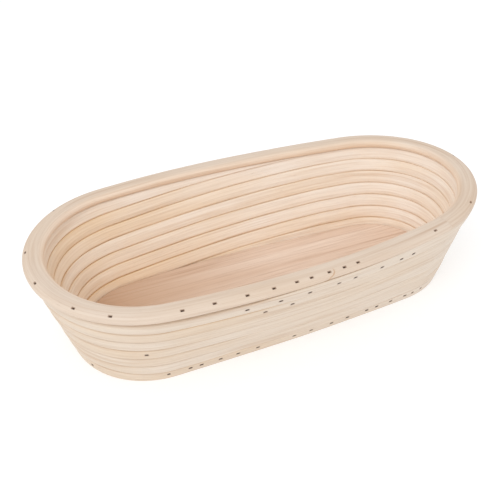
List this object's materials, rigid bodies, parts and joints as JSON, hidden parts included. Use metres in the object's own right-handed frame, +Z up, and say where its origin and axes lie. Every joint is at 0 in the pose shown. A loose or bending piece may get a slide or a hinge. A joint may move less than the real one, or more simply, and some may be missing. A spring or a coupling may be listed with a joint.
{
  "type": "proving basket",
  "caption": "Oval proving basket (banneton): rattan cane wound up in rows on a wooden board, with a heavier cane round the mouth, all held by brads.",
  "frame": {"origin": "on the surface that the basket stands on, under the middle of its length and width", "axes": "+X along the basket, +Y towards its back side, +Z up"},
  "size_m": [0.3492, 0.1852, 0.0769],
  "materials": {
    "wall_cane": "peeled rattan cane, unvarnished, sanded flat on the outside",
    "rim_cane": "peeled rattan cane, unvarnished, sanded smooth",
    "board": "bare sanded board with lengthwise grain",
    "brads": "dull coated steel, sunk below the surface"
  },
  "bodies": {
    "root": {"base_board": "board", "base_brad_1": "brads", "base_brad_10": "brads", "base_brad_11": "brads", "base_brad_12": "brads", "base_brad_13": "brads", "base_brad_14": "brads", "base_brad_15": "brads", "base_brad_16": "brads", "base_brad_17": "brads", "base_brad_18": "brads", "base_brad_19": "brads", "base_brad_2": "brads", "base_brad_20": "brads", "base_brad_21": "brads", "base_brad_22": "brads", "base_brad_23": "brads", "base_brad_24": "brads", "base_brad_3": "brads", "base_brad_4": "brads", "base_brad_5": "brads", "base_brad_6": "brads", "base_brad_7": "brads", "base_brad_8": "brads", "base_brad_9": "brads", "fourth_row_brad_1": "brads", "rim_brad_1": "brads", "rim_brad_10": "brads", "rim_brad_11": "brads", "rim_brad_12": "brads", "rim_brad_13": "brads", "rim_brad_14": "brads", "rim_brad_15": "brads", "rim_brad_16": "brads", "rim_brad_17": "brads", "rim_brad_18": "brads", "rim_brad_19": "brads", "rim_brad_2": "brads", "rim_brad_20": "brads", "rim_brad_21": "brads", "rim_brad_22": "brads", "rim_brad_3": "brads", "rim_brad_4": "brads", "rim_brad_5": "brads", "rim_brad_6": "brads", "rim_brad_7": "brads", "rim_brad_8": "brads", "rim_brad_9": "brads", "rim_cane": "rim_cane", "second_row_brad_1": "brads", "second_row_brad_2": "brads", "top_row_brad_1": "brads", "top_row_brad_2": "brads", "top_row_brad_3": "brads", "top_row_brad_4": "brads", "top_row_brad_5": "brads", "top_row_brad_6": "brads", "top_row_brad_7": "brads", "top_row_brad_8": "brads", "wall_cane": "wall_cane"}
  },
  "joints": []
}
